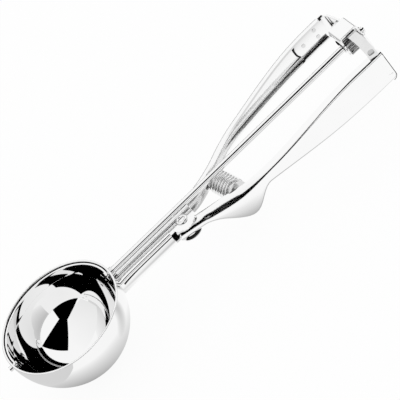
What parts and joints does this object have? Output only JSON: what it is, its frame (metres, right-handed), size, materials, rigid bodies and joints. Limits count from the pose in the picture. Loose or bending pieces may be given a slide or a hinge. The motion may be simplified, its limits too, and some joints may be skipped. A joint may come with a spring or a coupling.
{
  "type": "ice cream scoop",
  "caption": "Polished steel squeeze-handle ice cream scoop: a half-round bowl, two spread handles, and a rack and pinion that sweeps a scraper blade round the bowl.",
  "frame": {"origin": "on the floor under the middle of the length: lowest point of the bowl is at height zero, half way between the front pin and the tail of the scraper rod", "axes": "+X from the bowl to the ends of the handles, along the scraper rod; +Y towards the fixed handle, -Y towards the lever; +Z out of the mouth of the bowl"},
  "size_m": [0.2098, 0.058, 0.0365],
  "materials": {
    "polished": "mirror polished stainless steel",
    "machined": "plain machined stainless steel",
    "wire": "drawn spring wire, bright"
  },
  "bodies": {
    "frame": {"bowl": "polished", "rod_bush": "machined", "front_pin": "polished", "neck_shell": "polished", "fixed_handle": "polished", "end_bracket": "polished", "bracket_welds": "machined", "bracket_bushes": "machined", "spring_seat_fixed": "machined", "pivot_rivet": "polished", "return_spring": "wire"},
    "lever": {"lever_handle": "polished", "pivot_sleeve": "machined", "spring_seat_lever": "machined", "rack": "machined", "rack_rivet": "polished"},
    "scraper": {"scraper_rod": "polished", "pinion": "machined", "pinion_pin": "machined", "rod_ring": "machined", "scraper_blade": "polished"}
  },
  "joints": [
    {"name": "lever_squeeze", "type": "hinge", "parent": "frame", "child": "lever", "pos_m": [-0.0083, -0.0045, 0.0227], "axis": [0, 0, 1], "range_deg": [0, 6.92], "stiffness_Nm_per_rad": 1.5, "springref_deg": -11.46, "deforming": ["return_spring"]},
    {"name": "scraper_turn", "type": "hinge", "parent": "frame", "child": "scraper", "pos_m": [0.0257, 0, 0.029], "axis": [-1, 0, 0], "range_deg": [0, 176]}
  ],
  "couplings": [
    {"joint": "scraper_turn", "follows": "lever_squeeze", "ratio": 25.403}
  ]
}
